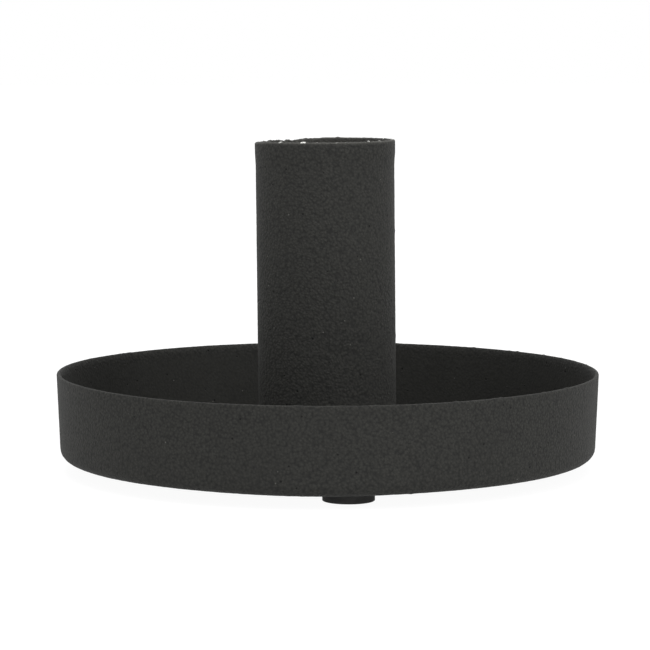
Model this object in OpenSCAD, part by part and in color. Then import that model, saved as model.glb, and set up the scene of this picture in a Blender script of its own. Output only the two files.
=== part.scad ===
// Candle holder: a shallow round dish with a tall tube in its middle for one dinner candle.
// All steel is powder-coated: every size is taken over the coat's peaks.
// +Z points up. The origin is the centre of the plane that the feet stand on.

/* [Candle socket] */
// Diameter of the candle that the socket takes
candle_d = 22; // [18:0.5:26]
// Gap between the candle and the socket, all round
candle_gap = 0.4; // [0.2:0.05:0.8]
// Depth of the socket, from the tube's rim down to the seat
socket_depth = 25; // [16:1:35]
// Width of the step where the wider socket ends and the narrower tube starts
socket_step = 0.2; // [0.16:0.02:0.4]

/* [Tube] */
// Height of the tube's rim above the underside of the dish
tube_h = 55.8; // [50:0.2:80]
// Thickness of the tube's wall around the socket, coating included
socket_wall = 0.65; // [0.65:0.05:1.2]
// Leg of the weld bead round the foot of the tube
weld_leg = 1.2; // [0.8:0.1:2.5]

/* [Dish] */
// Outer diameter of the dish at its rim
dish_d = 95; // [80:1:140]
// Height of the dish's rim above its underside
dish_h = 15; // [10:0.2:25]
// Thickness of the dish, coating included
dish_wall = 0.85; // [0.65:0.05:1.4]
// Outside radius of the bend between the floor and the wall
dish_bend_r = 2.3; // [1.6:0.1:5]
// Angle at which the wall leans outwards
dish_lean = 2.3; // [0:0.1:12]
// Rounding of the dish's and the tube's rims
rim_round = 0.25; // [0.1:0.05:0.3]

/* [Candle seat] */
// Thickness of the pressed seat
seat_wall = 0.6; // [0.4:0.05:0.8]
// Height of the seat with its skirt
seat_h = 4; // [3:0.25:8]
// Outside radius of the bend between the seat and its skirt
seat_bend_r = 1; // [0.9:0.1:2]
// Rounding of the skirt's lower edge
skirt_round = 0.15; // [0.05:0.05:0.15]
// Gap between the skirt and the tube
seat_gap = 0.05; // [0.02:0.01:0.15]
// Diameter of the hole in the middle of the seat
seat_hole_d = 5; // [3:0.5:8]
// Number of tack welds that hold the seat
tack_count = 3; // [2:1:6]
// Radius of one tack weld
tack_r = 0.9; // [0.7:0.1:1.4]

/* [Feet] */
// Distance of a pad's edge inside the edge of the dish's flat floor
foot_inset = 4.5; // [1:0.1:12]
// Diameter of a rubber pad
pad_d = 8.7; // [6:0.1:12]
// Thickness of a rubber pad
pad_t = 2; // [1:0.1:4]
// Rounding of a pad's lower edge
pad_round = 0.4; // [0.1:0.05:0.8]
// Thickness of the adhesive layer above a pad
adhesive_t = 0.2; // [0.1:0.05:0.5]
// Distance of the adhesive's edge inside the pad's edge
adhesive_inset = 0.15; // [0:0.05:0.6]

/* [Hidden] */
$fn = 96;
bend_steps = 16;
edge_steps = 6;

coat_colour = "#333332";
bare_steel_colour = "#8d8f91";
rubber_colour = "#262626";
adhesive_colour = "#45433f";

// Heights above the plane that the feet stand on
dish_z = pad_t + adhesive_t;
floor_z = dish_z + dish_wall;
tube_top_z = dish_z + tube_h;
seat_z = tube_top_z - socket_depth;
skirt_end_z = seat_z - seat_h;

// Radii of the tube and of the seat inside it
socket_r = candle_d / 2 + candle_gap;
tube_r = socket_r + socket_wall;
tube_inner_r = socket_r - socket_step;
seat_r = tube_inner_r - seat_gap;
seat_hole_cut = 3 * seat_wall;

// Length of the dish's leaning wall and radius of its flat floor, so that its rounded rim
// just reaches dish_h and dish_d
dish_wall_len = (dish_h - dish_bend_r - rim_round
    + (dish_bend_r - dish_wall + rim_round) * sin(dish_lean)) / cos(dish_lean);
dish_floor_r = dish_d / 2 - rim_round
    - (dish_bend_r - rim_round) * cos(dish_lean) - dish_wall_len * sin(dish_lean);

pad_r = pad_d / 2;
foot_pitch_r = dish_floor_r - foot_inset - pad_r;
foot_count = 4;

// Points on an arc round a centre, between two angles.
function arc(centre, radius, from, to, steps) =
    [for (i = [0 : steps]) let (a = from + (to - from) * i / steps)
        centre + radius * [cos(a), sin(a)]];

// A point of a section turned clockwise by an angle.
function leaned(x, y, lean) =
    [x * cos(lean) + y * sin(lean), y * cos(lean) - x * sin(lean)];

// Half section of a pressed cup: a flat floor, a bend, and a wall that leans outwards.
// The wall is wall_len long, from the bend to the rounding of its edge.
module cup_section(floor_r, wall, bend_r, lean, wall_len, round_r) {
    bend = [floor_r, bend_r];
    outer_edge = bend + leaned(bend_r - round_r, wall_len, lean);
    inner_edge = bend + leaned(bend_r - wall + round_r, wall_len, lean);
    polygon(concat(
        [[0, 0]],
        arc(bend, bend_r, -90, -lean, bend_steps),
        arc(outer_edge, round_r, -lean, 90 - lean, edge_steps),
        arc(inner_edge, round_r, 90 - lean, 180 - lean, edge_steps),
        arc(bend, bend_r - wall, -lean, -90, bend_steps),
        [[0, wall]]
    ));
}

// Puts a child under the dish at the place of a foot; foot 1 is at the front.
module at_foot(i) {
    rotate(-90 + (i - 1) * 360 / foot_count) translate([foot_pitch_r, 0, 0]) children();
}

// Pressed sheet dish
module dish() {
    color(coat_colour) translate([0, 0, dish_z]) rotate_extrude()
        cup_section(dish_floor_r, dish_wall, dish_bend_r, dish_lean, dish_wall_len, rim_round);
}

// Tube that stands on the dish's floor, opened out to the candle's size at its top
module socket_tube() {
    round_z = tube_top_z - rim_round;
    color(coat_colour) rotate_extrude() polygon(concat(
        [[tube_inner_r, floor_z], [tube_r, floor_z]],
        arc([tube_r - rim_round, round_z], rim_round, 0, 90, edge_steps),
        arc([socket_r + rim_round, round_z], rim_round, 90, 180, edge_steps),
        [[socket_r, seat_z], [tube_inner_r, seat_z]]
    ));
}

// Weld bead that joins the tube to the dish
module tube_weld() {
    root = [tube_r, floor_z];
    color(coat_colour) rotate_extrude()
        polygon(concat([root], arc(root, weld_leg, 0, 90, edge_steps)));
}

// Pressed cap that the candle stands on, level with the step in the tube
module candle_seat() {
    color(coat_colour) translate([0, 0, seat_z]) difference() {
        mirror([0, 0, 1]) rotate_extrude() cup_section(
            seat_r - seat_bend_r, seat_wall, seat_bend_r, 0, seat_h - seat_bend_r - skirt_round, skirt_round);
        cylinder(d = seat_hole_d, h = seat_hole_cut, center = true);
    }
}

// Tack welds under the end of the seat's skirt
module seat_tack_welds() {
    color(bare_steel_colour) for (i = [1 : tack_count])
        rotate(i * 360 / tack_count) intersection() {
            translate([tube_inner_r - tack_r / 2, 0, skirt_end_z]) sphere(r = tack_r);
            translate([0, 0, skirt_end_z - tack_r]) cylinder(r = tube_inner_r, h = tack_r);
        }
}

// Stick-on rubber pad with a rounded lower edge
module foot_pad(i) {
    color(rubber_colour) at_foot(i) rotate_extrude() polygon(concat(
        [[0, 0]],
        arc([pad_r - pad_round, pad_round], pad_round, -90, 0, edge_steps),
        [[pad_r, pad_t], [0, pad_t]]
    ));
}

// Adhesive layer between a pad and the dish
module foot_adhesive(i) {
    color(adhesive_colour) at_foot(i) translate([0, 0, pad_t])
        cylinder(r = pad_r - adhesive_inset, h = adhesive_t);
}

dish();
socket_tube();
tube_weld();
candle_seat();
seat_tack_welds();
for (i = [1 : foot_count]) {
    foot_pad(i);
    foot_adhesive(i);
}
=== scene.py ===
"""Dressed model of a powder-coated candle holder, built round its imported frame.

The holder is a shallow pressed dish with a welded tube for one dinner candle. The steel parts are
turned meshes that carry the real relief of their sand-texture coat, and the pads are moulded
rubber. Sizes in the classes are in millimetres, apart from the studio's, and turns in degrees
from +X; everything in Blender is in metres.
"""

import logging
import math
from collections.abc import Sequence
from dataclasses import dataclass, field
from enum import Enum

import bpy
import numpy as np
from mathutils import Matrix, Quaternion, Vector, noise


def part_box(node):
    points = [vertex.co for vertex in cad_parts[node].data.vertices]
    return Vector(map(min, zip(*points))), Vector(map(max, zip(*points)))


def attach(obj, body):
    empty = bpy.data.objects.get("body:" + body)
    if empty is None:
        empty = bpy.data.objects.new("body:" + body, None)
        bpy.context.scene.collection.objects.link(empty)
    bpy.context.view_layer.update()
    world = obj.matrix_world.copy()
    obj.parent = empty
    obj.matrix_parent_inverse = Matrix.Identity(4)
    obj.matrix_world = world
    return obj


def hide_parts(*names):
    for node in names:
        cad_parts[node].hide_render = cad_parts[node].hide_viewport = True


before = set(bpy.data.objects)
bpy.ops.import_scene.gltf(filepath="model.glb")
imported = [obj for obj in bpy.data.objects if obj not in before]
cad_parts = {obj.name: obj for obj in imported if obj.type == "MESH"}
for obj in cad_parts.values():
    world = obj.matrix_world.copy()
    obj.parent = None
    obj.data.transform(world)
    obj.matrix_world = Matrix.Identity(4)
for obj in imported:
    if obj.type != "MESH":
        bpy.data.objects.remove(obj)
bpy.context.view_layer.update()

LOG = logging.getLogger("candle_holder")
MM = 0.001
BODY = "root"
WHITE = (1.0, 1.0, 1.0, 1.0)
# Points within this distance of a face that another piece hides count as its own.
TOUCHING = 0.01

Point = tuple[float, float]
Span = tuple[float, float]
Colour = tuple[float, float, float, float]
Tree = bpy.types.NodeTree
Output = bpy.types.NodeSocket


# --------------------------------------------------------------------------- finishes


def linear(hex_colour: str) -> Colour:
    """Turns an sRGB hex colour into Blender's linear one.

    Args:
        hex_colour: Six hex digits after a hash, such as "#262625".

    Returns:
        Linear red, green and blue with an alpha of 1.
    """
    values = [int(hex_colour[i : i + 2], 16) / 255 for i in (1, 3, 5)]
    red, green, blue = (
        v / 12.92 if v <= 0.04045 else ((v + 0.055) / 1.055) ** 2.4 for v in values
    )
    return red, green, blue, 1.0


def per_mm(length: float) -> float:
    """Texture scale, in metre coordinates, of a pattern that repeats every length in mm."""
    return 1.0 / (length * MM)


def add_node(
    tree: Tree, kind: str, settings: dict[str, object] | None = None, **inputs: object
) -> bpy.types.Node:
    """Adds a node, sets its properties and fills or links its inputs.

    Args:
        tree: The tree that gets the node.
        kind: Blender's name for the node type.
        settings: Properties of the node itself.
        **inputs: Values or outputs to link, by input name with spaces as underscores; inN is
            the input with number N.

    Returns:
        The new node.
    """
    node = tree.nodes.new(kind)
    for name, value in (settings or {}).items():
        setattr(node, name, value)
    for name, value in inputs.items():
        number = name[2:]
        key = int(number) if name.startswith("in") and number.isdigit() else name.replace("_", " ")
        if isinstance(value, Output):
            tree.links.new(value, node.inputs[key])
        else:
            node.inputs[key].default_value = value
    return node


def shows_background(tree: Tree) -> Output:
    """Tells the rays that show a background: from the camera, off a mirror or through glass.

    Args:
        tree: The tree that gets the nodes.

    Returns:
        1 for such a ray and 0 for others.
    """
    path = add_node(tree, "ShaderNodeLightPath")
    shown = path.outputs["Is Camera Ray"]
    for name in ("Is Glossy Ray", "Is Transmission Ray"):
        shown = add_node(
            tree, "ShaderNodeMath", {"operation": "MAXIMUM"}, in0=shown, in1=path.outputs[name]
        ).outputs[0]
    return shown


@dataclass(frozen=True)
class Finish:
    """A surface finish that makes its own material."""

    def make(self, name: str) -> bpy.types.Material:
        """Builds the node material.

        Args:
            name: The material's name.

        Returns:
            The material.
        """
        material = bpy.data.materials.new(name)
        material.use_nodes = True
        tree = material.node_tree
        tree.nodes.clear()
        place = add_node(tree, "ShaderNodeTexCoord").outputs["Object"]
        shader = self.shader(tree, place)
        add_node(tree, "ShaderNodeOutputMaterial", Surface=shader.outputs[0])
        return material

    def shader(self, tree: Tree, place: Output) -> bpy.types.Node:
        """Builds what is between the coordinates and the material's output.

        Args:
            tree: The material's tree.
            place: Object coordinates.

        Returns:
            The last shader node.
        """
        raise NotImplementedError


@dataclass(frozen=True)
class SandTextureCoat(Finish):
    """Polyester powder coat, baked on blasted steel, with a sand texture.

    The texturing agent makes the melt curl up into small grains. The eye sees a dull near-black
    with a soft grey sheen at low angles and a few pale specks; the grain tops are painted lighter
    than the hollows and the pits darker, as painted shade. The mesh's "thin" attribute calms the
    grain where little powder lies. On a chipped coat its "bare" attribute says how far the coat is
    polished, partly as painted glints along the tube's rim and painted light inside its socket,
    and above about a half it has chipped off.
    """

    body: str = "#262625"
    # Painted shade: grain tops are lighter than the hollows between them.
    lit_grain_top: str = "#3a3a37"
    # Painted shade: pits are darker than the body.
    pit_shade: str = "#191918"
    speck: str = "#60605c"
    # Partly painted light: it also paints glints on the tube's rim and a lighter socket inside.
    burnished_and_lit: str = "#6e6d69"
    bare_steel: str = "#c4c4c0"
    worn_and_lit: bool = False
    roughness: float = 0.72
    roughness_spread: float = 0.05
    steel_roughness: float = 0.38
    ior: float = 1.5
    specular_level: float = 0.14
    # Real grains are about 0.3 mm wide, with finer ones between. They are drawn coarser, to show.
    grain_mm: float = 0.46
    fine_grain_mm: float = 0.32
    grain_height_mm: float = 0.1
    grain_range: Span = (-0.35, 0.55)
    thin_calm: float = 0.6
    patch_mm: float = 12.0
    patch_range: Span = (0.3, 0.7)
    patch_tone: Span = (0.9, 1.1)
    # A spot's radius is a share of the spacing, and its core a share of the radius. The shift
    # gives the specks other places.
    spot_core: float = 0.6
    pit_spacing_mm: float = 2.6
    pit_share: float = 0.09
    speck_spacing_mm: float = 3.2
    speck_share: float = 0.05
    speck_shift_m: tuple[float, float, float] = (0.31, 0.17, 0.23)
    chip_range: Span = (1.0, 1.14)

    def shader(self, tree: Tree, place: Output) -> bpy.types.Node:
        """Lays clouds, pits, specks and wear over the grain.

        Args:
            tree: The material's tree.
            place: Object coordinates.

        Returns:
            The coat's shader.
        """
        fine = add_node(
            tree, "ShaderNodeTexNoise",
            Vector=place, Scale=per_mm(self.fine_grain_mm), Detail=2.0, Roughness=0.6,
        ).outputs["Fac"]
        patches = add_node(
            tree, "ShaderNodeTexNoise",
            Vector=place, Scale=per_mm(self.patch_mm), Detail=5.0, Roughness=0.75,
        ).outputs["Fac"]
        shifted = add_node(
            tree, "ShaderNodeVectorMath", {"operation": "ADD"}, in0=place, in1=self.speck_shift_m
        ).outputs[0]
        pits = self._spots(tree, place, self.pit_spacing_mm, self.pit_share)
        specks = self._spots(tree, shifted, self.speck_spacing_mm, self.speck_share)
        tone = self._grain_tone(tree, place, fine)
        # Painted shade: the hollows between grains keep the darker body colour and the grain tops
        # turn lighter.
        colour = add_node(
            tree, "ShaderNodeMix", {"data_type": "RGBA"},
            in0=tone, in6=linear(self.body), in7=linear(self.lit_grain_top),
        ).outputs[2]
        spread = self.roughness_spread
        clouded, rough = (
            add_node(
                tree, "ShaderNodeMapRange",
                Value=patches, From_Min=self.patch_range[0], From_Max=self.patch_range[1],
                To_Min=least, To_Max=most,
            ).outputs[0]
            for least, most in (
                self.patch_tone, (self.roughness - spread, self.roughness + spread),
            )
        )
        colour = add_node(
            tree, "ShaderNodeVectorMath", {"operation": "SCALE"}, in0=colour, Scale=clouded
        ).outputs[0]
        raised = tone
        for operation, spots in (("SUBTRACT", pits), ("ADD", specks)):
            raised = add_node(
                tree, "ShaderNodeMath", {"operation": operation}, in0=raised, in1=spots
            ).outputs[0]
        bump = add_node(
            tree, "ShaderNodeBump", Distance=self.grain_height_mm * MM, Height=raised
        ).outputs["Normal"]
        shader = add_node(
            tree, "ShaderNodeBsdfPrincipled",
            IOR=self.ior, Specular_IOR_Level=self.specular_level, Normal=bump,
        )
        # Painted shade in the pits; the specks are pale.
        layers = [(pits, self.pit_shade), (specks, self.speck)]
        if self.worn_and_lit:
            rubbed_and_lit, bare = self._wear(tree, fine)
            # The polished colour is partly painted glints along the rim and painted light inside
            # the socket.
            layers += [(rubbed_and_lit, self.burnished_and_lit), (bare, self.bare_steel)]
            rough = add_node(
                tree, "ShaderNodeMapRange", Value=bare, To_Min=rough, To_Max=self.steel_roughness
            ).outputs[0]
            tree.links.new(bare, shader.inputs["Metallic"])
        for cover, tint in layers:
            colour = add_node(
                tree, "ShaderNodeMix", {"data_type": "RGBA"},
                in0=cover, in6=colour, in7=linear(tint),
            ).outputs[2]
        tree.links.new(colour, shader.inputs["Base Color"])
        tree.links.new(rough, shader.inputs["Roughness"])
        return shader

    def _grain_tone(self, tree: Tree, place: Output, fine: Output) -> Output:
        """Finds the grains, which are calmer where the coat is thin.

        Args:
            tree: The material's tree.
            place: Object coordinates.
            fine: The fine grain.

        Returns:
            A share from 0, between the grains, to 1, on top of one.
        """
        grain = add_node(
            tree, "ShaderNodeTexVoronoi", {"feature": "SMOOTH_F1"},
            Vector=place, Scale=per_mm(self.grain_mm), Smoothness=0.6,
        ).outputs["Distance"]
        height = add_node(
            tree, "ShaderNodeMath", {"operation": "SUBTRACT"}, in0=fine, in1=grain
        ).outputs[0]
        thin = add_node(tree, "ShaderNodeAttribute", {"attribute_name": "thin"}).outputs["Fac"]
        calm = add_node(
            tree, "ShaderNodeMath", {"operation": "MULTIPLY"}, in0=thin, in1=self.thin_calm / 2
        ).outputs[0]
        most = add_node(
            tree, "ShaderNodeMath", {"operation": "SUBTRACT"}, in0=1.0, in1=calm
        ).outputs[0]
        return add_node(
            tree, "ShaderNodeMapRange",
            Value=height, From_Min=self.grain_range[0], From_Max=self.grain_range[1],
            To_Min=calm, To_Max=most,
        ).outputs[0]

    def _wear(self, tree: Tree, fine: Output) -> tuple[Output, Output]:
        """Reads how far the coat is polished, partly painted glints and light, and chips it off
        with edges as ragged as the grain.

        Args:
            tree: The material's tree.
            fine: The fine grain.

        Returns:
            The share of polished coat, partly painted glints and light, and the mask of bare
            steel.
        """
        rubbed_and_lit = add_node(tree, "ShaderNodeAttribute", {"attribute_name": "bare"}).outputs["Fac"]
        ragged = add_node(
            tree, "ShaderNodeMath", {"operation": "ADD"}, in0=rubbed_and_lit, in1=fine
        ).outputs[0]
        bare = add_node(
            tree, "ShaderNodeMapRange",
            Value=ragged, From_Min=self.chip_range[0], From_Max=self.chip_range[1],
        ).outputs[0]
        return rubbed_and_lit, bare

    def _spots(self, tree: Tree, place: Output, spacing: float, radius: float) -> Output:
        """Scatters round spots with soft edges.

        Args:
            tree: The material's tree.
            place: Texture coordinates.
            spacing: Mean distance between spots in the solid, in mm.
            radius: Radius of a spot as a share of the spacing.

        Returns:
            A mask that is 1 in a spot and 0 elsewhere.
        """
        away = add_node(
            tree, "ShaderNodeTexVoronoi", Vector=place, Scale=per_mm(spacing)
        ).outputs["Distance"]
        return add_node(
            tree, "ShaderNodeMapRange",
            Value=away, From_Min=radius * self.spot_core, From_Max=radius, To_Min=1.0, To_Max=0.0,
        ).outputs[0]


@dataclass(frozen=True)
class PatchyFinish(Finish):
    """A body colour with soft patches of something paler on it, over a fine relief."""

    body: str
    patch: str
    roughness: float
    ior: float
    specular_level: float
    patch_mm: float
    patch_detail: float
    patch_range: Span
    relief_height_mm: float

    def shader(self, tree: Tree, place: Output) -> bpy.types.Node:
        """Lays the patches over the body.

        Args:
            tree: The material's tree.
            place: Object coordinates.

        Returns:
            The finish's shader.
        """
        patches = add_node(
            tree, "ShaderNodeTexNoise",
            Vector=place, Scale=per_mm(self.patch_mm), Detail=self.patch_detail,
        ).outputs["Fac"]
        cover = add_node(
            tree, "ShaderNodeMapRange",
            Value=patches, From_Min=self.patch_range[0], From_Max=self.patch_range[1],
        ).outputs[0]
        colour = add_node(
            tree, "ShaderNodeMix", {"data_type": "RGBA"},
            in0=cover, in6=linear(self.body), in7=linear(self.patch),
        ).outputs[2]
        bump = add_node(
            tree, "ShaderNodeBump",
            Distance=self.relief_height_mm * MM, Height=self.relief(tree, place, cover),
        ).outputs["Normal"]
        return add_node(
            tree, "ShaderNodeBsdfPrincipled",
            Base_Color=colour, Roughness=self.roughness, IOR=self.ior,
            Specular_IOR_Level=self.specular_level, Normal=bump,
        )

    def relief(self, tree: Tree, place: Output, cover: Output) -> Output:
        """Height of the surface: the patches stand up, unless a finish has its own relief."""
        return cover


@dataclass(frozen=True)
class MouldedRubber(PatchyFinish):
    """Nitrile rubber, compression moulded in small pads.

    The mould was fine-blasted, so the eye sees a dull even black with a faint bloom of wax.
    """

    body: str = "#434342"
    patch: str = "#504f4e"
    roughness: float = 0.78
    ior: float = 1.52
    specular_level: float = 0.3
    patch_mm: float = 2.5
    patch_detail: float = 4.0
    patch_range: Span = (0.4, 0.8)
    relief_height_mm: float = 0.008
    # Fine blasting leaves dents of about 0.05 mm. They are drawn coarser, to show.
    blast_mm: float = 0.12

    def relief(self, tree: Tree, place: Output, cover: Output) -> Output:
        """Height of the dents that the mould's blasting left."""
        return add_node(
            tree, "ShaderNodeTexNoise", Vector=place, Scale=per_mm(self.blast_mm), Detail=2.0
        ).outputs["Fac"]


@dataclass(frozen=True)
class AcrylicFilm(PatchyFinish):
    """Clear acrylic adhesive film, die-cut.

    It is as tacky as wet glue, so the eye sees a soft gloss over the dark parts behind it, and
    pale dust that sticks to the cut edge.
    """

    body: str = "#45433f"
    patch: str = "#6e6c66"
    roughness: float = 0.32
    ior: float = 1.47
    specular_level: float = 0.5
    patch_mm: float = 0.3
    patch_detail: float = 3.0
    patch_range: Span = (0.55, 0.7)
    relief_height_mm: float = 0.01


@dataclass(frozen=True)
class TackWeldSteel(Finish):
    """Mild steel, arc-welded and left bare: a rough grey bead with straw and blue heat tints."""

    body: str = "#8b8a86"
    straw: str = "#9a8458"
    blue: str = "#4a5468"
    blue_at: float = 0.35
    body_at: float = 0.5
    straw_at: float = 0.65
    roughness: float = 0.45
    tint_mm: float = 1.4
    ripple_mm: float = 0.3
    ripple_height_mm: float = 0.02

    def shader(self, tree: Tree, place: Output) -> bpy.types.Node:
        """Tints the steel over its ripples.

        Args:
            tree: The material's tree.
            place: Object coordinates.

        Returns:
            The steel's shader.
        """
        tint, ripples = (
            add_node(
                tree, "ShaderNodeTexNoise", Vector=place, Scale=per_mm(size), Detail=detail
            ).outputs["Fac"]
            for size, detail in ((self.tint_mm, 2.0), (self.ripple_mm, 1.0))
        )
        ramp = add_node(tree, "ShaderNodeValToRGB", Fac=tint)
        stops = ramp.color_ramp.elements
        stops[0].position, stops[0].color = self.blue_at, linear(self.blue)
        stops[1].position, stops[1].color = self.body_at, linear(self.body)
        stops.new(self.straw_at).color = linear(self.straw)
        bump = add_node(
            tree, "ShaderNodeBump", Distance=self.ripple_height_mm * MM, Height=ripples
        ).outputs["Normal"]
        return add_node(
            tree, "ShaderNodeBsdfPrincipled",
            Base_Color=ramp.outputs["Color"], Metallic=1.0, Roughness=self.roughness, Normal=bump,
        )


@dataclass(frozen=True)
class FloorPaint(Finish):
    """White emulsion paint, rolled on a smooth floor, with its distances in metres.

    The eye sees matt white that glows, a little less near the object, so that it keeps a shadow.
    """

    body: str = "#ececec"
    shade_share: float = 0.16
    glow: float = 0.945
    glow_from: float = 0.07
    glow_full: float = 0.3

    def shader(self, tree: Tree, place: Output) -> bpy.types.Node:
        """Lights the object as plain paint, and glows where it is seen.

        Args:
            tree: The material's tree.
            place: Object coordinates.

        Returns:
            The paint's shader.
        """
        matt = linear(self.body)
        dim = tuple(c * self.shade_share for c in matt[:3]) + (1.0,)
        paint, shade = (
            add_node(tree, "ShaderNodeBsdfDiffuse", Color=colour).outputs[0]
            for colour in (matt, dim)
        )
        away = add_node(
            tree, "ShaderNodeVectorMath", {"operation": "LENGTH"}, in0=place
        ).outputs["Value"]
        strength = add_node(
            tree, "ShaderNodeMapRange",
            Value=away, From_Min=self.glow_from, From_Max=self.glow_full, To_Min=self.glow,
        ).outputs[0]
        glow = add_node(tree, "ShaderNodeEmission", Color=WHITE, Strength=strength).outputs[0]
        shown = add_node(tree, "ShaderNodeAddShader", in0=shade, in1=glow).outputs[0]
        return add_node(
            tree, "ShaderNodeMixShader", in0=shows_background(tree), in1=paint, in2=shown
        )


# --------------------------------------------------------------------------- turned meshes


def line(start: Point, end: Point, spacing: float) -> list[Point]:
    """Points along a straight stretch of a section, without its end.

    Args:
        start: First point, as radius and height.
        end: Point that the next stretch starts with.
        spacing: Distance between points.

    Returns:
        The points from start on.
    """
    count = max(1, round(math.dist(start, end) / spacing))
    return [
        (start[0] + (end[0] - start[0]) * i / count, start[1] + (end[1] - start[1]) * i / count)
        for i in range(count)
    ]


def on_circle(centre: Point, radius: float, angle: float) -> Point:
    """The point at an angle, in degrees, on a circle."""
    a = math.radians(angle)
    return centre[0] + radius * math.cos(a), centre[1] + radius * math.sin(a)


def arc(centre: Point, radius: float, start: float, end: float, spacing: float) -> list[Point]:
    """Points along an arc of a section, without its end.

    Args:
        centre: Centre, as radius and height.
        radius: The arc's own radius.
        start: First angle in degrees.
        end: Last angle in degrees.
        spacing: Distance between points along the arc.

    Returns:
        The points from the first angle on.
    """
    count = max(2, round(radius * math.radians(abs(end - start)) / spacing))
    return [on_circle(centre, radius, start + (end - start) * i / count) for i in range(count)]


@dataclass
class TurnedSolid:
    """A closed solid of revolution with an even mesh.

    Rings halve their number of points towards the axis, so the faces keep about one size.

    Attributes:
        section: Outline as (radius, height), with the solid on its left hand.
        around: Points on the widest rings.
        spacing: Smallest distance between the points of a ring before it halves.
        closed: True for a ring-shaped solid, False for one that starts and ends on the axis.
        fewest: Points on a ring that never halves.
        counts: Points on each ring.
        points: The points of all rings.
        normals: Their outward directions.
    """

    section: Sequence[Point]
    around: int
    spacing: float
    closed: bool = False
    fewest: int = 8
    counts: list[int] = field(init=False)
    points: np.ndarray = field(init=False)
    normals: np.ndarray = field(init=False)

    def __post_init__(self) -> None:
        """Works out the rings, their points and their outward directions."""
        self.counts = [self._count(r) for r, _ in self.section]
        if not self.closed:
            self.counts[0] = self.counts[-1] = 1
        self._smooth_counts()
        outline = np.array(self.section, float)
        if self.closed:
            along = np.roll(outline, -1, 0) - np.roll(outline, 1, 0)
        else:
            along = np.gradient(outline, axis=0)
        along /= np.linalg.norm(along, axis=1, keepdims=True)
        points, normals = [], []
        for (r, z), (dr, dz), count in zip(outline, along, self.counts):
            turn = np.arange(count) * (2 * math.pi / count)
            ones = np.ones(count)
            points.append(np.stack([r * np.cos(turn), r * np.sin(turn), z * ones], 1))
            side = 0.0 if count == 1 else dz
            normals.append(np.stack([side * np.cos(turn), side * np.sin(turn), -dr * ones], 1))
        self.points = np.concatenate(points)
        self.normals = np.concatenate(normals)

    def _count(self, radius: float) -> int:
        """Halves the widest ring's number of points as often as a smaller ring needs.

        Args:
            radius: The ring's radius.

        Returns:
            The ring's number of points.
        """
        count, length = self.around, 2 * math.pi * radius
        while count % 2 == 0 and count > self.fewest and length / count < self.spacing:
            count //= 2
        return count

    def _smooth_counts(self) -> None:
        """Lets neighbouring rings differ by one halving at most, poles apart."""
        first, last = (0, len(self.counts)) if self.closed else (1, len(self.counts) - 1)
        for order in (range(first + 1, last), range(last - 2, first - 1, -1)):
            for i in order:
                while self.counts[i] * 2 < self.counts[i - order.step]:
                    self.counts[i] *= 2

    def faces(self) -> list[tuple[int, ...]]:
        """Stitches each ring to the next.

        Returns:
            The faces as tuples of point numbers, facing outwards.
        """
        starts = np.concatenate([[0], np.cumsum(self.counts)])
        rings = [(int(start), count) for start, count in zip(starts, self.counts)]
        pairs = list(zip(rings, rings[1:]))
        if self.closed:
            pairs.append((rings[-1], rings[0]))
        return [face for a, b in pairs for face in self._stitch(a, b)]

    @staticmethod
    def _stitch(a: tuple[int, int], b: tuple[int, int]) -> list[tuple[int, ...]]:
        """Joins two rings that are equal, one halving apart, or a ring and a pole.

        Args:
            a: First point and count of the ring that comes first along the section.
            b: The same for the next ring.

        Returns:
            The faces between them.
        """
        (a0, na), (b0, nb) = a, b
        if na < nb:
            return [face[::-1] for face in TurnedSolid._stitch(b, a)]
        if na == nb:
            return [(a0 + i, a0 + (i + 1) % na, b0 + (i + 1) % nb, b0 + i) for i in range(na)]
        if nb == 1:
            return [(a0 + i, a0 + (i + 1) % na, b0) for i in range(na)]
        faces = []
        for i in range(nb):
            left, middle, right = a0 + 2 * i, a0 + 2 * i + 1, a0 + (2 * i + 2) % na
            low, high = b0 + i, b0 + (i + 1) % nb
            faces += [(left, middle, low), (middle, high, low), (middle, right, high)]
        return faces

    def build(self, name: str, heights: np.ndarray | None = None) -> bpy.types.Object:
        """Makes the Blender object.

        Args:
            name: The object's name.
            heights: How far each point moves outwards, in mm.

        Returns:
            The object, linked to the scene and shaded smooth.
        """
        moved = self.points if heights is None else self.points + self.normals * heights[:, None]
        mesh = bpy.data.meshes.new(name)
        mesh.from_pydata(moved * MM, [], self.faces())
        mesh.shade_smooth()
        mesh.update()
        piece = bpy.data.objects.new(name, mesh)
        bpy.context.scene.collection.objects.link(piece)
        return piece


def reach(points: np.ndarray) -> np.ndarray:
    """Distance of each point from the axis."""
    return np.hypot(points[:, 0], points[:, 1])


def turns(points: np.ndarray) -> np.ndarray:
    """Turn of each point round the axis."""
    return np.degrees(np.arctan2(points[:, 1], points[:, 0]))


def turned_from(middle: float, turn: np.ndarray) -> np.ndarray:
    """The shortest way round from a middle to each turn, from -180 to 180."""
    return (turn - middle + 180) % 360 - 180


def blend(distance: np.ndarray, width: float) -> np.ndarray:
    """Rises from 0 to 1 over a width, and is half way at distance 0."""
    return np.clip(distance / width + 0.5, 0, 1)


# --------------------------------------------------------------------------- coat relief


def waver(points: np.ndarray, length: float) -> np.ndarray:
    """Smooth noise from -1 to 1 at each point, in waves of about a length."""
    return np.array([noise.noise(Vector(p)) for p in points / length])


def lump(points: np.ndarray, centre: Sequence[float], radius: float, height: float) -> np.ndarray:
    """Height that one round lump adds at each point."""
    return height * np.exp(-((points - centre) ** 2).sum(1) / radius**2)


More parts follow.
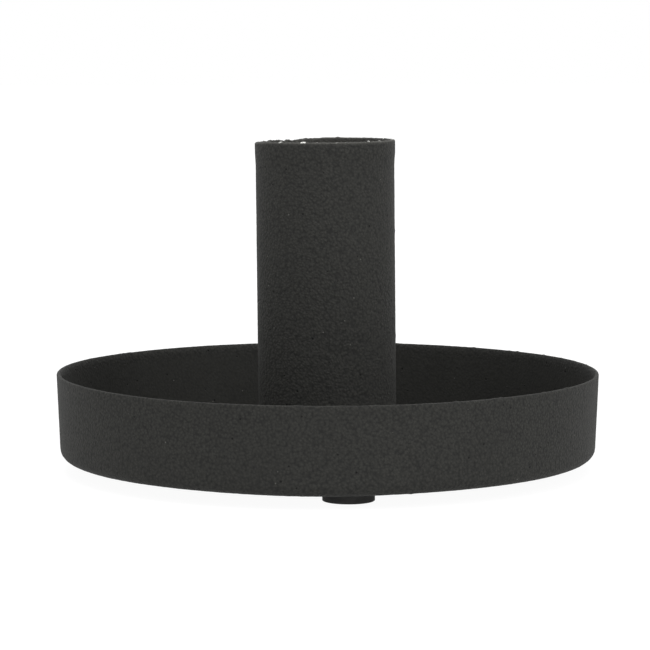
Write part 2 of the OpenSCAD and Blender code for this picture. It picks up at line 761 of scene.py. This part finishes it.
@dataclass(frozen=True)
class Nibs:
    """Specks of dust and clumped powder that stand up in a coat.

    Attributes:
        count: How many there are.
        radius: Smallest and largest radius.
        height: Smallest and largest height.
        seed: Seed of the random draws.
    """

    count: int
    radius: Span
    height: Span
    seed: int

    def relief(self, points: np.ndarray, places: np.ndarray) -> np.ndarray:
        """Height that the nibs add at each point.

        Args:
            points: Points in mm, one row each.
            places: Points that nibs may sit on.

        Returns:
            Heights in mm.
        """
        rng = np.random.default_rng(self.seed)
        centres = places[rng.integers(0, len(places), self.count)]
        radii = rng.uniform(*self.radius, self.count)
        heights = rng.uniform(*self.height, self.count)
        total = np.zeros(len(points))
        for centre, radius, height in zip(centres, radii, heights):
            total += lump(points, centre, radius, height)
        return total


@dataclass(frozen=True)
class SandRelief:
    """Real height of a sand-texture coat: slow waves with coarse grain on them.

    Attributes:
        wave: Length of the slow waves.
        wave_height: Half their height.
        grain: Width of the coarse grain.
        grain_height: Half its height.
        sink: How far the mean surface lies under the coat's peaks.
    """

    wave: float = 3.2
    wave_height: float = 0.012
    grain: float = 0.6
    grain_height: float = 0.026
    sink: float = 0.01

    def relief(self, points: np.ndarray) -> np.ndarray:
        """Height of the coat at each point, measured from the surface through its peaks."""
        waves, grains = waver(points, self.wave), waver(points, self.grain)
        return waves * self.wave_height + grains * self.grain_height - self.sink


# --------------------------------------------------------------------------- pieces


def dress(piece: bpy.types.Object, material: bpy.types.Material, node: str) -> None:
    """Gives a piece its material, ties it to the frame and reports it.

    Args:
        piece: The new piece.
        material: Its finish.
        node: CAD node that the piece stands for.
    """
    piece.data.materials.append(material)
    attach(piece, BODY)
    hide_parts(node)
    LOG.info("%s: %d faces, stands for %s", piece.name, len(piece.data.polygons), node)


def paint_points(piece: bpy.types.Object, name: str, values: np.ndarray) -> None:
    """Stores a value at each point of a piece, for its finish to read."""
    layer = piece.data.attributes.new(name, "FLOAT", "POINT")
    layer.data.foreach_set("value", values.astype(np.float32))


def box_mm(node: str) -> tuple[Vector, Vector]:
    """Lowest and highest corner of a CAD node, in millimetres."""
    low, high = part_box(node)
    return low / MM, high / MM


@dataclass(frozen=True)
class RimWave:
    """A stretch of the dish's rim that lies out of level.

    Attributes:
        turn: Its middle.
        width: Half its width in degrees.
        rise: How far it lies too high.
    """

    turn: float
    width: float
    rise: float


@dataclass
class Dish:
    """Pressed sheet dish with a leaning wall that is thinned on the inside at its rim."""

    finish: bpy.types.Material
    wall: float = 0.85
    bend_r: float = 1.95
    lean: float = 2.3
    # The floor's edge curls up a little, but hangs down beside the front pad.
    curl: float = 0.12
    sag: float = 0.21
    sag_at: float = -98.0
    sag_width: float = 19.0
    edge_from: float = 41.0
    edge_length: float = 3.0
    edge_height: float = 6.0
    # The rim is rounded outside, flat on top and tapered inside, and it is wavy.
    rim_round: float = 0.3
    rim_flat: float = 0.12
    rim_taper: float = 1.3
    rim_lift: float = 0.03
    waves: tuple[RimWave, ...] = (
        RimWave(-103, 42, -0.11),
        RimWave(178, 36, 0.12),
        RimWave(48, 22, -0.06),
    )
    # Little powder reaches the inside, from a little under the rim down.
    thin_from: float = 0.5
    thin_length: float = 2.0
    around: int = 896
    spacing: float = 0.3
    wall_step: float = 0.5
    floor_step: float = 0.8
    rim_step: float = 0.14
    taper_points: int = 9
    nibs: Nibs = Nibs(170, (0.35, 0.7), (0.03, 0.09), seed=11)
    rim_nibs: Nibs = Nibs(34, (0.22, 0.36), (0.05, 0.11), seed=12)
    rim_nibs_within: float = 0.3
    # A direction that is less sideways than this counts as upright.
    least_side: float = 0.05
    relief: SandRelief = SandRelief()

    def section(self) -> list[Point]:
        """Outline of the dish, from under its centre round the rim and back to the axis.

        Returns:
            The outline's points.
        """
        low, high = box_mm("dish")
        lean = math.radians(self.lean)
        sine, cosine = math.sin(lean), math.cos(lean)
        inset = self.wall - self.rim_round
        height = high.z - low.z
        rise = (height - self.bend_r - self.rim_round + (self.bend_r - inset) * sine) / cosine
        floor_r = high.x - self.rim_round - (self.bend_r - self.rim_round) * cosine - rise * sine
        bend = (floor_r, low.z + self.bend_r)
        outer = self._on_wall(bend, self.bend_r - self.rim_round, rise)
        inner_bend_r = self.bend_r - self.wall
        shoulder = self.bend_r - self.rim_round - self.rim_flat
        taper = [
            self._on_wall(
                bend,
                shoulder + (inset - self.rim_flat) * math.cos(angle),
                rise + self.rim_round - self.rim_taper * (1 - math.sin(angle)),
            )
            for angle in np.linspace(math.pi / 2, math.pi, self.taper_points)
        ]
        top = low.z + self.wall
        return [
            *line((0, low.z), (floor_r, low.z), self.floor_step),
            *arc(bend, self.bend_r, -90, -self.lean, self.wall_step),
            *line(
                on_circle(bend, self.bend_r, -self.lean),
                on_circle(outer, self.rim_round, -self.lean),
                self.wall_step,
            ),
            *arc(outer, self.rim_round, -self.lean, 90 - self.lean, self.rim_step),
            *taper[:-1],
            *line(taper[-1], on_circle(bend, inner_bend_r, -self.lean), self.wall_step),
            *arc(bend, inner_bend_r, -self.lean, -90, self.wall_step),
            *line((floor_r, top), (0, top), self.floor_step),
            (0, top),
        ]

    def _on_wall(self, bend: Point, across: float, along: float) -> Point:
        """Finds a point of the section by its place on the leaning wall.

        Args:
            bend: Centre of the bend that the wall rises from.
            across: Distance outwards from there, square to the wall.
            along: Distance up the wall.

        Returns:
            The point, as radius and height.
        """
        lean = math.radians(self.lean)
        sine, cosine = math.sin(lean), math.cos(lean)
        return bend[0] + across * cosine + along * sine, bend[1] + along * cosine - across * sine

    def build(self) -> None:
        """Builds the dish with its coat and its nibs, as the press left it."""
        solid = TurnedSolid(self.section(), self.around, self.spacing)
        points = solid.points
        at_rim = points[points[:, 2] > points[:, 2].max() - self.rim_nibs_within]
        heights = self.relief.relief(points)
        heights += self.nibs.relief(points, points) + self.rim_nibs.relief(points, at_rim)
        self._keep_inside(solid, heights)
        self._warp(points)
        piece = solid.build("dish_shell", heights)
        paint_points(piece, "thin", self._thin(solid))
        dress(piece, self.finish, "dish")

    def _warp(self, points: np.ndarray) -> None:
        """Puts the floor's edge and the rim out of true.

        Args:
            points: The dish's points, which move up or down.
        """
        turn = turns(points)
        above = points[:, 2] - points[:, 2].min()
        outwards = np.clip((reach(points) - self.edge_from) / self.edge_length, 0, 1)
        at_edge = outwards * np.clip(1 - above / self.edge_height, 0, 1)
        up_wall = outwards * np.clip(above / above.max(), 0, 1)
        sagging = np.exp(-((turned_from(self.sag_at, turn) / self.sag_width) ** 2))
        points[:, 2] += (self.curl - self.sag * sagging) * at_edge + self.rim_lift * up_wall
        for wave in self.waves:
            away = turned_from(wave.turn, turn) / wave.width
            points[:, 2] += wave.rise * np.exp(-(away**4)) * up_wall

    def _thin(self, solid: TurnedSolid) -> np.ndarray:
        """Finds where the powder lies thin: on what faces the middle, below the rim.

        Args:
            solid: The turned dish.

        Returns:
            For each point a share from 0, a full coat, to 1, a thin one.
        """
        below = solid.points[:, 2].max() - solid.points[:, 2]
        inwards = -(solid.points * solid.normals)[:, :2].sum(1)
        facing_in = inwards > reach(solid.points) / 2
        thin = np.clip((below - self.thin_from) / self.thin_length, 0, 1)
        return np.where(facing_in, thin, 0.0)

    def _keep_inside(self, solid: TurnedSolid, heights: np.ndarray) -> None:
        """Holds nibs on the widest edge back to the CAD radius.

        Args:
            solid: The turned dish.
            heights: Heights to change in place.
        """
        away = reach(solid.points)
        room = (away.max() - away) / np.maximum(reach(solid.normals), self.least_side)
        np.minimum(heights, room, out=heights)


@dataclass(frozen=True)
class TubeLean:
    """How far out of true the tube was welded.

    Attributes:
        angle: Lean in degrees.
        towards: Turn that it leans towards.
    """

    angle: float = 0.53
    towards: float = 154.0

    def matrix(self) -> Matrix:
        """Works out the lean, about the middle of the tube's foot.

        Returns:
            The matrix, in metres.
        """
        foot = Matrix.Translation((0, 0, box_mm("socket_tube")[0].z * MM))
        axis = Matrix.Rotation(math.radians(self.towards + 90), 3, "Z") @ Vector((1, 0, 0))
        return foot @ Matrix.Rotation(math.radians(self.angle), 4, axis) @ foot.inverted()


@dataclass(frozen=True)
class Chip:
    """A place on the tube's rim where the coat has broken away.

    Attributes:
        turn: Where it is round the rim.
        width: How wide it is round the rim.
        depth: How far it reaches down from the rim.
        burr: How high the torn edge stands up.
        bare: How much of the steel shows, from 0, coated, to 1, bare.
    """

    turn: float
    width: float
    depth: float
    burr: float
    bare: float = 1.0

    def share(self, turn: np.ndarray, below: np.ndarray) -> np.ndarray:
        """Finds the points that the chip takes.

        Args:
            turn: Turn of each point.
            below: How far it lies below the rim.

        Returns:
            For each point a share from 0, outside the chip, to 1, in its middle.
        """
        away = np.radians(turned_from(self.turn, turn)) * box_mm("socket_tube")[1].x
        return np.exp(-((away / (self.width / 2)) ** 4) - (below / self.depth) ** 4)


@dataclass(frozen=True)
class Mouth:
    """What tools and use did to the tube's mouth, with painted glints on its rim and painted light
    inside it.
    """

    # It was drifted open, most on one side. The flare fades out over a length below the rim.
    flare: float = 0.17
    flare_least: float = 0.7
    flare_side: float = -5.0
    flare_end: float = 1.6
    flare_length: float = 4.7
    # It was cut low at the front and ground down from one turn to another, after a shallow lead.
    front_drop: float = 0.1
    ground_drop: float = 0.3
    lead_share: float = 0.25
    lead_at: float = 89.0
    lead_blend: float = 6.0
    start_at: float = 104.0
    start_blend: float = 3.0
    end_at: float = 198.0
    end_blend: float = 36.0
    drop_length: float = 2.5
    # The cut left a burr, most ragged round one turn, and a bead of powder sits at another.
    ragged_wave: float = 0.5
    ragged_depth: float = 0.2
    burr: float = 0.06
    rough_burr: float = 0.28
    rough_at: float = 124.0
    rough_width: float = 26.0
    highest_burr: float = 0.16
    bead_turn: float = 73.0
    bead_inset: float = 0.25
    bead_r: float = 0.5
    bead_height: float = 0.15
    # Hands wore down the rim's coat, which also gets painted glints, and the socket's inside gets
    # painted light.
    rim_rub_and_glint: float = 0.33
    rub_and_glint_depth: float = 0.24
    socket_painted_light: float = 0.28
    chips: tuple[Chip, ...] = (
        Chip(-134.5, 0.6, 0.16, 0.14),
        Chip(-126, 0.3, 0.08, 0.06, 0.5),
        Chip(-113, 1.1, 0.14, 0.12),
        Chip(-102, 0.9, 0.08, 0.03, 0.5),
        Chip(-84, 1.6, 0.08, 0.0, 0.46),
        Chip(-56, 0.25, 0.08, 0.14),
        Chip(-44, 0.8, 0.08, 0.06, 0.6),
        Chip(-16, 0.3, 0.1, 0.08, 0.65),
        Chip(22, 0.5, 0.12, 0.08),
        Chip(104, 0.5, 0.2, 0.06, 0.3),
        Chip(120, 0.8, 0.2, 0.1, 0.3),
        Chip(139, 0.8, 0.14, 0.1, 0.3),
        Chip(168, 0.4, 0.12, 0.06, 0.3),
    )

    def shape(self, points: np.ndarray, turn: np.ndarray, below: np.ndarray) -> None:
        """Flares the mouth and lowers its rim.

        Args:
            points: The tube's points, which move outwards and down.
            turn: Turn of each point.
            below: How far it lies below the rim.
        """
        spread = (1 - self.flare_least) / 2
        towards = 1 - spread + spread * np.cos(np.radians(turn - self.flare_side))
        rise = (self.flare_length - below) / (self.flare_length - self.flare_end)
        rise = np.clip(rise, 0, 1)
        grow = self.flare * towards * rise**2 * (3 - 2 * rise)
        points[:, :2] *= (1 + grow / reach(points))[:, None]
        front = 0.5 - 0.5 * np.sin(np.radians(turn))
        around = turn % 360
        lead = blend(around - self.lead_at, self.lead_blend)
        start = blend(around - self.start_at, self.start_blend)
        start = self.lead_share * lead + (1 - self.lead_share) * start
        end = blend(self.end_at - around, self.end_blend)
        drop = self.front_drop * front + self.ground_drop * start * end
        points[:, 2] -= drop * np.clip(1 - below / self.drop_length, 0, 1)

    def burrs(self, points: np.ndarray, turn: np.ndarray, below: np.ndarray) -> np.ndarray:
        """Raises burrs, the bead of powder and the chips' torn edges.

        Args:
            points: The tube's points.
            turn: Turn of each point.
            below: How far it lay below the rim before the mouth was shaped.

        Returns:
            Heights in mm.
        """
        rough = np.exp(-((turned_from(self.rough_at, turn) / self.rough_width) ** 4))
        near_rim = np.exp(-((below / self.ragged_depth) ** 2))
        burr = waver(points, self.ragged_wave) * near_rim * (self.burr + self.rough_burr * rough)
        bead_at = on_circle((0, 0), box_mm("socket_tube")[1].x - self.bead_inset, self.bead_turn)
        burr += lump(points, (*bead_at, points[:, 2].max()), self.bead_r, self.bead_height)
        torn = np.max([chip.share(turn, below) * chip.burr for chip in self.chips], axis=0)
        return np.minimum(burr + torn, self.highest_burr)

    def bare(self, turn: np.ndarray, below: np.ndarray, inside: np.ndarray) -> np.ndarray:
        """Finds where the coat is polished or chipped off, and where glints and light are painted.

        Args:
            turn: Turn of each point.
            below: How far it lies below the rim.
            inside: True on the socket's inside, which gets painted light.

        Returns:
            For each point a value from 0, coated, to 1, bare.
        """
        # A polished band with painted glints along the rim, and painted light on the socket's
        # inside.
        rubbed_and_lit = self.rim_rub_and_glint * np.exp(-((below / self.rub_and_glint_depth) ** 4))
        chipped = [chip.share(turn, below) * chip.bare for chip in self.chips]
        return np.max([rubbed_and_lit, self.socket_painted_light * inside, *chipped], axis=0)


@dataclass
class SocketTube:
    """Tube with a candle socket at its top and a rough, chipped rim."""

    finish: bpy.types.Material
    lean: TubeLean
    wall: float = 0.65
    step: float = 0.2
    rim_round: float = 0.26
    # Room for burrs under the CAD's top, and between the seat's skirt and the bore.
    rim_room: float = 0.27
    bore_room: float = 0.02
    around: int = 384
    spacing: float = 0.1
    ring_step: float = 0.34
    rim_step: float = 0.09
    inner_step: float = 0.6
    inner_fine: float = 3.0
    mouth: Mouth = Mouth()
    nibs: Nibs = Nibs(90, (0.3, 0.5), (0.03, 0.08), seed=21)
    relief: SandRelief = SandRelief(sink=-0.07)

    def section(self) -> list[Point]:
        """Outline of the tube's wall, from its foot up the outside and down the inside.

        Returns:
            The outline's points.
        """
        low, high = box_mm("socket_tube")
        seat_z = box_mm("candle_seat")[1].z
        outer, top = high.x, high.z - self.rim_room
        socket = outer - self.wall
        bore = socket - self.step
        r = self.rim_round
        return [
            *line((bore, low.z), (outer, low.z), self.ring_step),
            *line((outer, low.z), (outer, top - r), self.ring_step),
            *arc((outer - r, top - r), r, 0, 90, self.rim_step),
            *arc((socket + r, top - r), r, 90, 180, self.rim_step),
            *line((socket, top - r), (socket, top - self.inner_fine), self.ring_step),
            *line((socket, top - self.inner_fine), (socket, seat_z), self.inner_step),
            *line((socket, seat_z), (bore, seat_z), self.ring_step),
            *line((bore, seat_z), (bore, low.z), self.inner_step * 2),
        ]

    def build(self) -> None:
        """Builds the tube with its coat and its worn mouth."""
        solid = TurnedSolid(self.section(), self.around, self.spacing, closed=True)
        points = solid.points
        inside = reach(points) < box_mm("socket_tube")[1].x - self.wall / 2
        turn, below = turns(points), points[:, 2].max() - points[:, 2]
        self.mouth.shape(points, turn, below)
        heights = self.relief.relief(points) + self.nibs.relief(points, points)
        heights += self.mouth.burrs(points, turn, below)
        seat_z = box_mm("candle_seat")[1].z
        heights[inside & (points[:, 2] < seat_z - TOUCHING)] = -self.bore_room
        heights[below > below.max() - TOUCHING] = 0.0
        piece = solid.build("socket_tube_shell", heights)
        # These values carry painted glints on the rim and painted light inside the socket, as well
        # as the chips.
        paint_points(piece, "bare", self.mouth.bare(turn, below, inside))
        piece.data.transform(self.lean.matrix())
        self._keep_under(piece)
        dress(piece, self.finish, "socket_tube")

    @staticmethod
    def _keep_under(piece: bpy.types.Object) -> None:
        """Holds burrs at the mouth down to the CAD height.

        Args:
            piece: The tube's piece, in metres.
        """
        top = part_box("socket_tube")[1].z
        for vertex in piece.data.vertices:
            vertex.co.z = min(vertex.co.z, top)


@dataclass
class TubeWeld:
    """Fillet weld round the tube's foot, laid in short overlapping ripples and coated over."""

    finish: bpy.types.Material
    ripples: int = 62
    steps_each: int = 10
    ripple_height: float = 0.07
    # The ripples lean up the bead by a share of one, and wander from their even places.
    curve: float = 0.25
    wander: float = 0.5
    wander_waves: float = 3.0
    root_gap: float = 0.2
    foot_step: float = 0.25
    face_step: float = 0.14
    face_from: float = 0.95
    relief: SandRelief = SandRelief(grain_height=0.02)

    def build(self) -> None:
        """Builds the bead."""
        low, high = box_mm("tube_weld")
        root = (box_mm("socket_tube")[1].x, low.z)
        leg = high.x - root[0]
        section = [
            root,
            *line((root[0] + self.root_gap, root[1]), (root[0] + leg, root[1]), self.foot_step),
            *arc(root, leg, 0, 90, self.face_step),
            (root[0], root[1] + leg),
            (root[0], root[1] + leg / 2),
        ]
        solid = TurnedSolid(section, self.ripples * self.steps_each, 0.0, closed=True)
        points = solid.points
        away = np.hypot(reach(points) - root[0], points[:, 2] - root[1])
        turn = np.arctan2(points[:, 1], points[:, 0])
        rise = (points[:, 2] - root[1]) / leg
        circle = np.stack([np.cos(turn), np.sin(turn), 0 * turn], 1)
        wander = self.wander * waver(circle, 1 / self.wander_waves)
        phase = turn / (2 * math.pi) * self.ripples + self.curve * rise**2 + wander
        scallop = (np.abs(np.sin(math.pi * phase)) - 1) * self.ripple_height
        heights = np.where(away > self.face_from * leg, scallop + self.relief.relief(points), 0.0)
        dress(solid.build("tube_weld_bead", heights), self.finish, "tube_weld")


@dataclass
class CandleSeat:
    """Pressed cap that the candle stands on, slightly dished round its punched hole."""

    finish: bpy.types.Material
    lean: TubeLean
    wall: float = 0.6
    bend_r: float = 1.0
    dishing: float = 0.12
    hole_r: float = 2.5
    edge_round: float = 0.15
    around: int = 256
    spacing: float = 0.12
    step: float = 0.28
    relief: SandRelief = SandRelief(grain_height=0.02, sink=0.03)

    def build(self) -> None:
        """Builds the cap."""
        low, high = box_mm("candle_seat")
        outer, top, under = high.x, high.z, high.z - self.wall
        flat_r, bend_z = outer - self.bend_r, high.z - self.bend_r
        inner = outer - self.wall
        e = self.edge_round
        section = [
            *line((self.hole_r + e, under), (flat_r, under), self.step),
            *arc((flat_r, bend_z), self.bend_r - self.wall, 90, 0, self.step / 2),
            *line((inner, bend_z), (inner, low.z + e), self.step),
            *arc((inner + e, low.z + e), e, 180, 270, e),
            *arc((outer - e, low.z + e), e, 270, 360, e),
            *line((outer, low.z + e), (outer, bend_z), self.step),
            *arc((flat_r, bend_z), self.bend_r, 0, 90, self.step / 2),
            *line((flat_r, top), (self.hole_r + e, top), self.step),
            *arc((self.hole_r + e, top - e), e, 90, 180, e),
            *arc((self.hole_r + e, under + e), e, 180, 270, e),
        ]
        solid = TurnedSolid(section, self.around, self.spacing, closed=True)
        points = solid.points
        points[:, 2] -= np.clip(1 - (reach(points) / flat_r) ** 2, 0, 1) * self.dishing
        heights = np.where(points[:, 2] > bend_z, self.relief.relief(points), 0.0)
        piece = solid.build("candle_seat_cap", heights)
        piece.data.transform(self.lean.matrix())
        dress(piece, self.finish, "candle_seat")


@dataclass
class SeatTacks:
    """Tack welds under the seat's skirt: small domes with ripples round a crater."""

    finish: bpy.types.Material
    lean: TubeLean
    count: int = 3
    radius: float = 0.9
    crater: float = 0.12
    crater_share: float = 0.3
    ripples: int = 3
    ripple_height: float = 0.03
    around: int = 64
    spacing: float = 0.05
    dome_step: float = 0.07
    flat_step: float = 0.2

    def build(self) -> None:
        """Builds the tacks as one piece each."""
        under = box_mm("seat_tack_welds")[1].z
        centre_r = box_mm("candle_seat")[1].x - self.radius / 2
        section = [
            *arc((0, 0), self.radius, -90, 0, self.dome_step),
            *line((self.radius, 0), (0, 0), self.flat_step),
            (0, 0),
        ]
        for number in range(1, self.count + 1):
            solid = TurnedSolid(section, self.around, self.spacing)
            out = reach(solid.points) / self.radius
            waves = self.ripple_height * np.cos(out * 2 * self.ripples * math.pi) * out
            dip = self.crater * np.exp(-((out / self.crater_share) ** 2))
            dome = solid.points[:, 2] < -TOUCHING
            heights = np.where(dome, waves - self.ripple_height - dip, 0.0)
            solid.points += (*on_circle((0, 0), centre_r, number * 360 / self.count), under)
            piece = solid.build(f"seat_tack_{number}", heights)
            piece.data.transform(self.lean.matrix())
            dress(piece, self.finish, "seat_tack_welds")


@dataclass
class Foot:
    """One stick-on pad: rubber with a moulded groove and rounded edges, on adhesive film."""

    number: int
    rubber: bpy.types.Material
    film: bpy.types.Material
    edge_round: float = 0.13
    top_round: float = 0.12
    groove_r: float = 3.0
    groove_depth: float = 0.12
    wave: float = 1.3
    wave_height: float = 0.012
    around: int = 160
    spacing: float = 0.15
    sole_step: float = 0.3
    groove_step: float = 0.08
    ring_step: float = 0.2
    edge_step: float = 0.05
    top_step: float = 0.06
    hidden_step: float = 0.5

    def build(self) -> None:
        """Builds the pad and its adhesive."""
        self._pad()
        self._film()

    def _pad(self) -> None:
        """Turns the pad: a flat sole with a shallow groove, rounded edges and a straight side."""
        node = f"foot_pad_{self.number}"
        middle, radius, height = self._disc(node)
        e, g, t = self.edge_round, self.groove_depth, self.top_round
        section = [
            *line((0, 0), (self.groove_r - 2 * g, 0), self.sole_step),
            *line((self.groove_r - 2 * g, 0), (self.groove_r, g), self.groove_step),
            *line((self.groove_r, g), (self.groove_r + 2 * g, 0), self.groove_step),
            *line((self.groove_r + 2 * g, 0), (radius - e, 0), self.ring_step),
            *arc((radius - e, e), e, -90, 0, self.edge_step),
            *line((radius, e), (radius, height - t), self.spacing),
            *arc((radius - t, height - t), t, 0, 90, self.top_step),
            *line((radius - t, height), (0, height), self.hidden_step),
            (0, height),
        ]
        solid = TurnedSolid(section, self.around, self.spacing)
        wavy = self.wave_height * waver(solid.points, self.wave) - self.wave_height
        z = solid.points[:, 2]
        heights = np.where(np.isclose(z, 0) | np.isclose(z, height), 0.0, wavy)
        solid.points += middle
        dress(solid.build(f"rubber_pad_{self.number}", heights), self.rubber, node)

    def _film(self) -> None:
        """Turns the film: a disc whose edge is squeezed out a little by the holder's weight."""
        node = f"foot_adhesive_{self.number}"
        middle, radius, height = self._disc(node)
        bulge = height / 4
        section = [
            *line((0, 0), (radius - bulge, 0), self.hidden_step),
            *line((radius - bulge, 0), (radius, height / 2), self.edge_step),
            *line((radius, height / 2), (radius - bulge, height), self.edge_step),
            *line((radius - bulge, height), (0, height), self.hidden_step),
            (0, height),
        ]
        solid = TurnedSolid(section, self.around // 2, self.spacing * 2)
        solid.points += middle
        dress(solid.build(f"adhesive_film_{self.number}"), self.film, node)

    @staticmethod
    def _disc(node: str) -> tuple[tuple[float, float, float], float, float]:
        """Reads where a round CAD node is, and its size.

        Args:
            node: The node's name.

        Returns:
            The middle of its underside, its radius and its height.
        """
        low, high = box_mm(node)
        middle = ((low.x + high.x) / 2, (low.y + high.y) / 2, low.z)
        return middle, (high.x - low.x) / 2, high.z - low.z


# --------------------------------------------------------------------------- studio


class Side(Enum):
    """Where a softbox stands, as its turn round the object in degrees from the front."""

    FRONT = 0.0
    FRONT_LEFT = -15.0
    RIGHT = 60.0
    BACK = 180.0
    LEFT = -60.0


@dataclass(frozen=True)
class Softbox:
    """A large soft lamp that faces the object, sized in metres and watts."""

    name: str
    side: Side
    height: float
    distance: float
    size: float
    power: float

    def build(self, target: Vector) -> None:
        """Makes the lamp.

        Args:
            target: The point that it faces.
        """
        light = bpy.data.lights.new(self.name, "AREA")
        light.shape = "SQUARE"
        light.size = self.size
        light.energy = self.power
        lamp = bpy.data.objects.new(self.name, light)
        turn = math.radians(self.side.value)
        lamp.location = target + Vector(
            (math.sin(turn) * self.distance, -math.cos(turn) * self.distance, self.height)
        )
        lamp.rotation_euler = (target - lamp.location).to_track_quat("-Z", "Y").to_euler()
        bpy.context.scene.collection.objects.link(lamp)


@dataclass(frozen=True)
class Studio:
    """White floor under a white sky, with soft light from all round, sized in metres."""

    sky: float = 0.47
    floor_size: float = 8.0
    target_height: float = 0.03
    lamps: tuple[Softbox, ...] = (
        Softbox("softbox_front", Side.FRONT, 0.8, 0.9, 0.6, 1.3),
        Softbox("softbox_low", Side.FRONT_LEFT, 0.15, 1.2, 0.6, 0.95),
        Softbox("softbox_right", Side.RIGHT, 0.5, 1.1, 0.8, 3.5),
        Softbox("softbox_left", Side.LEFT, 0.5, 1.1, 0.8, 0.75),
        Softbox("softbox_top", Side.FRONT, 1.5, 0.3, 1.0, 12.0),
        Softbox("softbox_back", Side.BACK, 1.2, 0.8, 1.0, 2.7),
    )

    def build(self) -> None:
        """Makes the world, the floor and the lamps."""
        self._world()
        self._floor()
        for lamp in self.lamps:
            lamp.build(Vector((0, 0, self.target_height)))
        bpy.context.scene.view_settings.view_transform = "Standard"

    def _world(self) -> None:
        """White where it is seen, and a plain sky where it lights the object."""
        world = bpy.data.worlds.new("studio_white")
        world.use_nodes = True
        tree = world.node_tree
        tree.nodes.clear()
        strength = add_node(
            tree, "ShaderNodeMapRange", Value=shows_background(tree), To_Min=self.sky
        ).outputs[0]
        sky = add_node(tree, "ShaderNodeBackground", Color=WHITE, Strength=strength)
        add_node(tree, "ShaderNodeOutputWorld", Surface=sky.outputs[0])
        bpy.context.scene.world = world

    def _floor(self) -> None:
        """A painted square that the feet stand on."""
        half = self.floor_size / 2
        mesh = bpy.data.meshes.new("studio_floor")
        corners = [(-half, -half, 0), (half, -half, 0), (half, half, 0), (-half, half, 0)]
        mesh.from_pydata(corners, [], [(0, 1, 2, 3)])
        mesh.materials.append(FloorPaint().make("White emulsion paint, rolled"))
        floor = bpy.data.objects.new("studio_floor", mesh)
        bpy.context.scene.collection.objects.link(floor)


@dataclass(frozen=True)
class PortraitCamera:
    """Long lens a little above the dish, in front and slightly to the left of foot 1."""

    azimuth: float = 5.4
    elevation: float = 5.78
    roll: float = -0.06
    distance: float = 500.0
    aim_aside: float = -0.465
    aim_above_dish: float = 23.1
    lens: float = 157.65
    sensor: float = 36.0
    clip_m: Span = (0.01, 50.0)

    def build(self) -> None:
        """Makes the camera and gives it to the scene."""
        turn, rise = math.radians(self.azimuth), math.radians(self.elevation)
        right = Vector((math.cos(turn), -math.sin(turn), 0))
        back = Vector(
            (-math.sin(turn) * math.cos(rise), -math.cos(turn) * math.cos(rise), math.sin(rise))
        )
        dish_z = box_mm("dish")[0].z
        aim = right * self.aim_aside + Vector((0, 0, dish_z + self.aim_above_dish))
        data = bpy.data.cameras.new("portrait_camera")
        data.lens, data.sensor_width = self.lens, self.sensor
        data.clip_start, data.clip_end = self.clip_m
        camera = bpy.data.objects.new("portrait_camera", data)
        camera.location = (aim + back * self.distance) * MM
        upright = (-back).to_track_quat("-Z", "Y")
        tilt = Quaternion((0, 0, 1), math.radians(self.roll))
        camera.rotation_euler = (upright @ tilt).to_euler()
        bpy.context.scene.collection.objects.link(camera)
        bpy.context.scene.camera = camera


# --------------------------------------------------------------------------- main


def main() -> None:
    """Builds the studio and every piece of the candle holder in turn."""
    logging.basicConfig(level=logging.INFO, format="%(name)s: %(message)s")
    PortraitCamera().build()
    Studio().build()
    coated = SandTextureCoat().make("Black sand-texture powder coat, baked")
    # The tube has the dish's powder coat, painted a shade lighter as painted light, since the tube
    # catches more light.
    lit_tube_coat = SandTextureCoat(body="#282827", lit_grain_top="#3d3d3a", worn_and_lit=True)
    worn_and_lit = lit_tube_coat.make("Black sand-texture powder coat, chipped rim")
    lean = TubeLean()
    Dish(coated).build()
    SocketTube(worn_and_lit, lean).build()
    TubeWeld(coated).build()
    CandleSeat(coated, lean).build()
    SeatTacks(TackWeldSteel().make("Mild steel, tack-welded"), lean).build()
    rubber = MouldedRubber().make("Nitrile rubber, moulded")
    film = AcrylicFilm().make("Acrylic adhesive film, die-cut")
    for number in range(1, 5):
        Foot(number, rubber, film).build()


if __name__ == "__main__":
    main()
